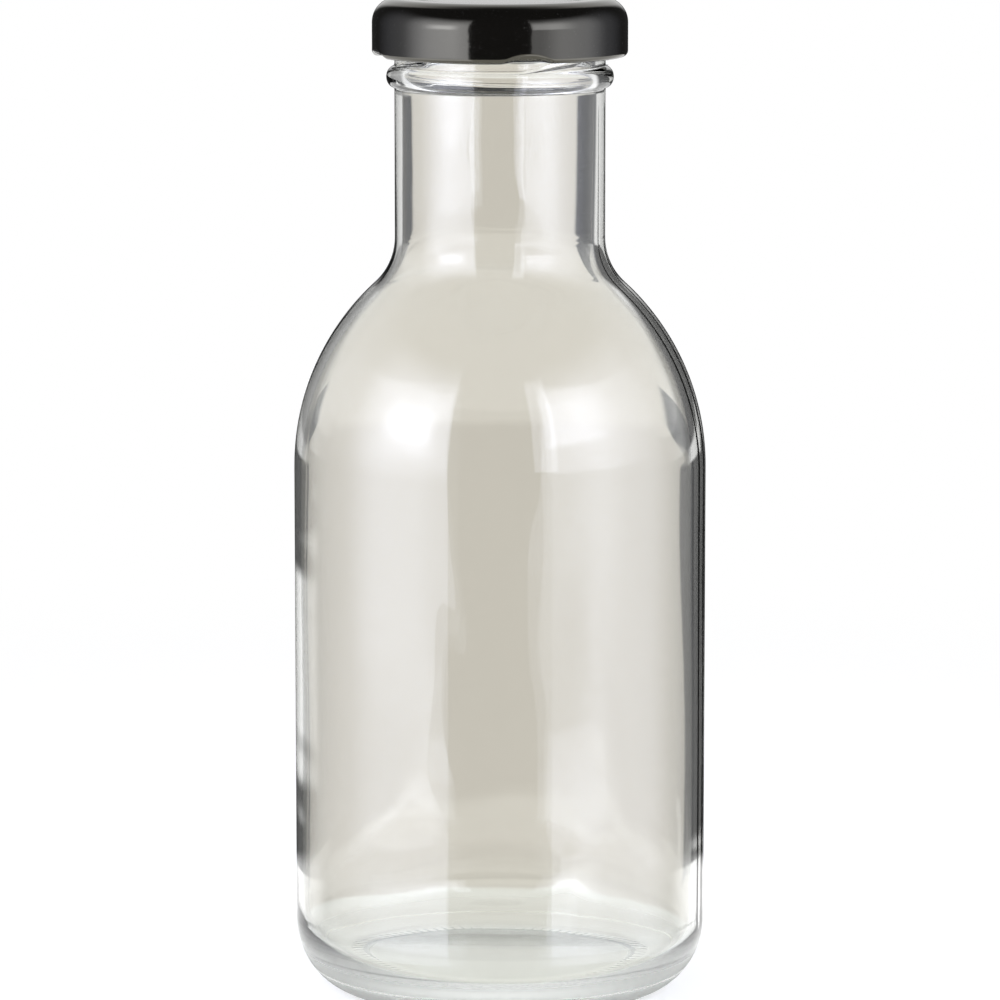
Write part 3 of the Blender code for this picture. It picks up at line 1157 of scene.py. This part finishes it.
@dataclass(frozen=True)
class SoftPanel:
    """Tall soft light panel, curved about the bottle and lit by patches of light."""

    name: str
    side: int
    glows: tuple[Glow, ...]
    distance: float = 0.30
    inner_deg: float = 16.0
    outer_deg: float = 142.0
    colour: Triple = (0.96, 1.0, 1.20)
    low: float = -0.13
    high: float = 0.50
    cells: int = 28

    def build(self) -> None:
        """Builds the panel, which the camera does not see."""
        turns = np.radians(np.linspace(self.inner_deg, self.outer_deg, self.cells + 1)) * self.side
        heights = np.linspace(self.low, self.high, self.cells + 1)
        points = [
            (self.distance * math.sin(turn), -self.distance * math.cos(turn), height)
            for height in heights
            for turn in turns
        ]
        grid = np.arange(len(points)).reshape(self.cells + 1, self.cells + 1)
        corners = [grid[:-1, :-1], grid[:-1, 1:], grid[1:, 1:], grid[1:, :-1]]
        faces = np.stack(corners, axis=-1)
        mesh = bpy.data.meshes.new(self.name)
        mesh.from_pydata(points, [], faces.reshape(-1, 4).tolist())
        panel = bpy.data.objects.new(self.name, mesh)
        bpy.context.scene.collection.objects.link(panel)
        mesh.materials.append(self.material())
        panel.visible_camera = False

    def material(self) -> bpy.types.Material:
        """Builds the glow.

        Returns:
            A light that rays straight through the glass do not see.
        """
        material, board = shader_board(self.name)
        place = board.add("ShaderNodeNewGeometry", None, None, "Position")
        across = board.add("ShaderNodeSeparateXYZ", None, {0: place}, "X")
        turn = board.maths("ARCTAN2", across * self.side, across.output("Y") * -1.0)
        degrees = board.maths("DEGREES", turn)
        height = across.output("Z")
        rays = RayKinds.on(board)
        inside = rays.once + rays.inner
        strength = sum(glow.signal(degrees, height, inside) for glow in self.glows)
        strength = strength * (1 - rays.straight)
        inputs = {"Color": (*self.colour, 1.0), "Strength": strength}
        light = board.add("ShaderNodeEmission", None, inputs)
        clear = board.add("ShaderNodeBsdfTransparent")
        surface = board.add("ShaderNodeAddShader", None, {0: light, 1: clear})
        board.finish("ShaderNodeOutputMaterial", surface)
        return material


@dataclass(frozen=True)
class Outlook:
    """Where a ray meets the room.

    The turn is in degrees from the side behind the bottle, positive to the right. Aside is the
    turn without its sign, and up is the sine of the angle above the horizon.
    """

    board: NodeBoard
    turn: Signal
    aside: Signal
    up: Signal

    @classmethod
    def on(cls, board: NodeBoard) -> "Outlook":
        """Reads the direction of the ray.

        Args:
            board: board of the world.

        Returns:
            The direction's turn and height.
        """
        direction = board.add("ShaderNodeTexCoord", None, None, "Generated")
        across = board.add("ShaderNodeSeparateXYZ", None, {0: direction}, "X")
        turn = board.maths("DEGREES", board.maths("ARCTAN2", across, across.output("Y")))
        aside = board.maths("ABSOLUTE", turn)
        return cls(board=board, turn=turn, aside=aside, up=across.output("Z"))


@dataclass(frozen=True)
class StraightLight:
    """Light of rays straight through the glass: white parts with dark gaps between them.

    The parts repeat round the room, but the gaps are kept to the side behind the bottle. Their
    edges and depths differ between the rows that show in the shoulder, in the neck and above.
    """

    parts: float = 8.0
    turn_deg: float = 1.0
    upper_turn_deg: float = 1.2
    reach: Span = (62.0, 52.0)
    top: Span = (0.30, 0.20)
    shoulder_foot: Span = (-0.147, -0.137)
    shoulder_top: Span = (-0.114, -0.120)
    upper_foot: Span = (-0.072, -0.060)
    lower_top: Span = (-0.062, -0.070)
    edge: float = 0.31
    shoulder_edge: float = 0.38
    neck_edge: float = 0.93
    upper_edge: float = 0.53
    edge_soft: float = 0.12
    depth: float = 0.30
    lower_depth: float = 0.45
    shoulder_relief: float = 0.36
    neck_depth: float = 0.19

    def signal(self, view: Outlook) -> Signal:
        """Strength of the light.

        Args:
            view: where the ray meets the room.

        Returns:
            1 in the white parts, less in the gaps.
        """
        up = view.up
        at_shoulder = up.ramp(*self.shoulder_foot)
        at_neck = up.band(*NECK_ROWS)
        at_upper = up.band(self.upper_foot, self.top)
        turned = (view.turn - self.turn_deg - at_upper * self.upper_turn_deg) * self.parts
        wave = view.board.maths("COSINE", view.board.maths("RADIANS", turned))
        edge = at_neck * self.neck_edge + at_upper * self.upper_edge
        edge = edge - at_shoulder * self.shoulder_edge - self.edge
        lobe = (wave - edge).ramp(-self.edge_soft, self.edge_soft)
        relief = at_shoulder * up.ramp(*self.shoulder_top) * self.shoulder_relief
        depth = self.depth + up.ramp(*self.lower_top) * (self.lower_depth - relief)
        depth = depth + at_neck * self.neck_depth
        return 1 - (1 - lobe) * up.ramp(*self.top) * depth * view.aside.ramp(*self.reach)


@dataclass(frozen=True)
class OnceLight:
    """Light of rays mirrored once inside a wall, which draw the dark edges of the glass.

    Behind the bottle it is light, but dark low down, with a lighter stretch on the left and a
    light end, and there are dark gaps higher up. Around the bottle it grows lighter upwards.
    """

    behind: Span = (66.0, 50.0)
    low_rows: Span = (-0.108, -0.119)
    low_depth: float = 0.90
    end_rows: Span = (-0.2135, -0.2175)
    stretch_turn: tuple[Span, Span] = ((-60.0, -50.0), (12.0, 8.0))
    stretch_rows: tuple[Span, Span] = ((-0.199, -0.189), (-0.160, -0.169))
    stretch_gain: float = 0.6
    gap_aside: tuple[Span, Span] = ((9.0, 15.0), (50.0, 40.0))
    gap_rows: tuple[Span, Span] = ((-0.080, -0.062), (0.32, 0.22))
    gap_depth: float = 0.88
    left_side: Span = (5.0, -5.0)
    left_relief: float = 0.38
    around: float = 0.10
    around_rows: Span = (-0.120, 0.25)
    around_gain: float = 0.80
    neck_aside: Span = (37.0, 43.0)
    neck_depth: float = 0.8
    front_foot: Span = (0.53, 0.50)

    def signal(self, view: Outlook, front: Signal) -> Signal:
        """Strength of the light.

        Args:
            view: where the ray meets the room.
            front: 1 on the camera's side of the room.

        Returns:
            The strength, which is 0 below a line on the camera's side.
        """
        turn, aside, up = view.turn, view.aside, view.up
        is_behind = aside.ramp(*self.behind)
        stretch = up.band(*self.stretch_rows) * turn.band(*self.stretch_turn)
        end = up.ramp(*self.end_rows)
        behind = 1 - up.ramp(*self.low_rows) * (1 - stretch) * (1 - end) * self.low_depth
        behind = behind + stretch * self.stretch_gain
        gap = aside.band(*self.gap_aside) * up.band(*self.gap_rows)
        gap = gap * (self.gap_depth - turn.ramp(*self.left_side) * self.left_relief)
        around = self.around + up.ramp(*self.around_rows) * self.around_gain
        neck_gap = up.band(*NECK_ROWS) * aside.ramp(*self.neck_aside) * self.neck_depth
        strength = behind * is_behind + around * (1 - is_behind)
        strength = strength * (1 - neck_gap) * (1 - gap)
        return strength * (1 - front * up.ramp(*self.front_foot))


@dataclass(frozen=True)
class InnerLight:
    """Light of rays mirrored deeper in the glass, stronger upwards and on the camera's side."""

    level: float = 0.42
    gain: float = 0.70
    rows: Span = (-0.05, 0.3)
    front_gain: float = 0.6
    front_foot: Span = (0.22, 0.19)

    def signal(self, view: Outlook, front: Signal) -> Signal:
        """Strength of the light.

        Args:
            view: where the ray meets the room.
            front: 1 on the camera's side of the room.

        Returns:
            The strength, which is 0 below a line on the camera's side.
        """
        strength = self.level + view.up.ramp(*self.rows) * self.gain
        strength = strength * (1 + front * self.front_gain)
        return strength * (1 - front * view.up.ramp(*self.front_foot))


@dataclass(frozen=True)
class OuterLight:
    """Light of rays mirrored off a surface: near dark, with a wedge of light for the cap."""

    dark: float = 0.03
    wedge: float = 0.85
    widening: float = 32.0
    aside: Span = (15.0, 5.0)
    rows: tuple[Span, Span] = ((0.02, 0.06), (0.97, 0.60))

    def signal(self, view: Outlook) -> Signal:
        """Strength of the light.

        Args:
            view: where the ray meets the room.

        Returns:
            The strength, highest in the wedge, which stands behind the bottle and widens upwards.
        """
        wedge = (view.aside - view.up * self.widening).ramp(*self.aside)
        return self.dark + wedge * view.up.band(*self.rows) * self.wedge


@dataclass(frozen=True)
class Surround:
    """White room round the bottle, whose light differs by how a ray came to it.

    Low down everything is light, as over a white table. Rays that are seen directly or fall on a
    matt surface get an even light.
    """

    straight: StraightLight = StraightLight()
    once: OnceLight = OnceLight()
    inner: InnerLight = InnerLight()
    outer: OuterLight = OuterLight()
    front_aside: Span = (141.0, 157.0)
    table_line: Span = (-0.223, -0.233)
    low_rows: Span = (-0.222, -0.300)
    low_light: float = 1.25
    fill: float = 0.55
    seen_colour: Triple = (0.768, 0.722, 0.655)
    table_colour: Triple = (0.96, 0.945, 0.905)
    table_rows: Span = (-0.310, -0.335)
    near_rows: Span = (-0.36, -0.42)
    near_share: float = 0.5

    def _strength(self, view: Outlook, rays: RayKinds) -> Signal:
        """Strength of the room's light.

        Args:
            view: where the ray meets the room.
            rays: how the ray came.

        Returns:
            The strength for that kind of ray.
        """
        up = view.up
        front = view.aside.ramp(*self.front_aside)
        mirrored = rays.once * self.once.signal(view, front)
        mirrored = mirrored + rays.inner * self.inner.signal(view, front)
        mirrored = mirrored + rays.outer * self.outer.signal(view)
        low_end = view.aside.ramp(*self.once.behind) * up.ramp(*self.once.end_rows)
        low = low_end.at_least(up.ramp(*self.low_rows))
        low_mirrored = (rays.once + rays.inner + rays.outer) * low * self.low_light
        straight = self.straight.signal(view).at_least(up.ramp(*self.table_line))
        even = rays.camera + rays.plain * self.fill
        return rays.straight * straight + mirrored * (1 - low) + low_mirrored + even

    def _colour(self, view: Outlook, rays: RayKinds) -> Signal:
        """Colour of the room.

        Args:
            view: where the ray meets the room.
            rays: how the ray came.

        Returns:
            Warm grey with a pale table for rays straight through the glass, and white for all other
            rays.
        """
        near = view.up.ramp(*self.near_rows) * self.near_share
        pale = view.up.ramp(*self.table_rows) * (1 - near)
        seen = view.board.mix(pale, (*self.seen_colour, 1.0), (*self.table_colour, 1.0))
        return view.board.mix(rays.straight, grey(1.0), seen)

    def build(self) -> None:
        """Builds the world."""
        world = bpy.data.worlds.new("surround")
        world.use_nodes = True
        bpy.context.scene.world = world
        board = NodeBoard(world.node_tree)
        view = Outlook.on(board)
        rays = RayKinds.on(board)
        inputs = {"Color": self._colour(view, rays), "Strength": self._strength(view, rays)}
        board.finish("ShaderNodeOutputWorld", board.add("ShaderNodeBackground", None, inputs))


@dataclass(frozen=True)
class PaleFloor:
    """Plain pale floor that keeps the shadow near the bottle and turns white further out."""

    half: float = 6.0
    near: float = 0.10
    far: float = 0.40
    colour: float = 0.80
    lift: float = 0.45

    def build(self) -> None:
        """Builds the floor."""
        half = self.half
        mesh = bpy.data.meshes.new("floor")
        corners = [(-half, -half, 0), (half, -half, 0), (half, half, 0), (-half, half, 0)]
        mesh.from_pydata(corners, [], [(0, 1, 2, 3)])
        floor = bpy.data.objects.new("floor", mesh)
        bpy.context.scene.collection.objects.link(floor)
        material, board = shader_board("pale_floor")
        place = board.add("ShaderNodeNewGeometry", None, None, "Position")
        reach = board.add("ShaderNodeVectorMath", {"operation": "LENGTH"}, {0: place}, "Value")
        lit = board.add("ShaderNodeBsdfDiffuse", None, {"Color": grey(self.colour)})
        lift = board.add("ShaderNodeEmission", None, {"Color": grey(1.0), "Strength": self.lift})
        near = board.add("ShaderNodeAddShader", None, {0: lit, 1: lift})
        far = board.add("ShaderNodeEmission", None, {"Color": grey(1.0), "Strength": 1.0})
        blend = reach.ramp(self.near, self.far)
        surface = board.add("ShaderNodeMixShader", None, {0: blend, 1: near, 2: far})
        board.finish("ShaderNodeOutputMaterial", surface)
        mesh.materials.append(material)
        floor.visible_glossy = False
        floor.visible_transmission = False


@dataclass(frozen=True)
class PhotoCamera:
    """Camera at the photograph's angle, slightly above the shoulder and far off."""

    place: Triple = (0.0, -0.900, 0.2190)
    pitch_deg: float = 8.76
    lens: float = 200.6
    sensor: float = 36.0
    clip: Span = (0.05, 60.0)

    def build(self) -> None:
        """Sets the scene's camera."""
        data = bpy.data.cameras.new("camera")
        data.lens = self.lens
        data.sensor_width = self.sensor
        data.clip_start, data.clip_end = self.clip
        camera = bpy.data.objects.new("camera", data)
        camera.location = self.place
        camera.rotation_euler = (math.radians(90 - self.pitch_deg), 0, 0)
        bpy.context.scene.collection.objects.link(camera)
        bpy.context.scene.camera = camera


@dataclass(frozen=True)
class Studio:
    """Room, floor, lights and camera.

    On each panel the wide, faint glows come first and the small, bright ones after them.
    """

    surround: Surround = Surround()
    floor: PaleFloor = PaleFloor()
    panels: tuple[SoftPanel, ...] = (
        SoftPanel(
            "panel_left",
            -1,
            (
                Glow(0.50, 27, 142, -0.12, 0.46, (0.6, 60), (0.01, 0.20)),
                Glow(0.65, 27, 100, -0.12, 0.46, (0.6, 36), (0.02, 0.24)),
                Glow(0.50, 27, 100, -0.003, 0.44, (0.6, 36), (0.02, 0.24)),
                Glow(0.55, 27, 88, -0.12, -0.034, (0.6, 30), (0.01, 0.006)),
                Glow(0.90, 27, 95, 0.060, 0.44, (0.6, 38), (0.060, 0.24)),
                Glow(0.65, 29, 78, 0.112, 0.36, (14, 40), (0.030, 0.16)),
                Glow(2.40, 34, 74, 0.142, 0.260, (12, 20), (0.032, 0.072)),
                Glow(1.10, 34, 74, 0.106, 0.185, (12, 20), (0.032, 0.045), within=True),
            ),
        ),
        SoftPanel(
            "panel_right",
            1,
            (
                Glow(0.50, 27, 142, -0.12, 0.46, (0.6, 60), (0.01, 0.20)),
                Glow(0.80, 34, 110, -0.12, 0.44, (22, 30), (0.02, 0.24)),
                Glow(0.75, 27, 62, -0.12, -0.002, (0.6, 20), (0.02, 0.012)),
                Glow(0.50, 27, 95, 0.088, 0.44, (0.6, 38), (0.004, 0.24)),
                Glow(0.60, 27, 95, 0.088, 0.30, (0.6, 38), (0.004, 0.12), within=True),
                Glow(1.80, 27, 76, 0.147, 0.350, (3, 34), (0.018, 0.130)),
                Glow(2.50, 20, 34, 0.094, 0.40, (0.8, 1.5), (0.003, 0.05), within=True),
                Glow(0.80, 27, 42, -0.048, -0.034, (0.6, 1.0), (0.002, 0.002)),
            ),
        ),
    )
    camera: PhotoCamera = PhotoCamera()

    def build(self) -> None:
        """Sets up the whole studio."""
        bpy.context.scene.view_settings.view_transform = "Standard"
        self.surround.build()
        self.floor.build()
        for panel in self.panels:
            panel.build()
        self.camera.build()


def main() -> None:
    """Builds the studio and dresses each piece."""
    logging.basicConfig(level=logging.INFO, format="%(name)s: %(message)s")
    Studio().build()
    _, bottle_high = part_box("glass_bottle")
    cap_low, cap_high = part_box("lug_cap")
    gasket_low, gasket_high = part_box("sealing_gasket")
    GlassBottle(body_radius=bottle_high.x, lip_top=bottle_high.z).build()
    LugCap(radius=cap_high.x, top=cap_high.z, foot=cap_low.z).build()
    SealingGasket(outer_radius=gasket_high.x, foot=gasket_low.z, top=gasket_high.z).build()


if __name__ == "__main__":
    main()
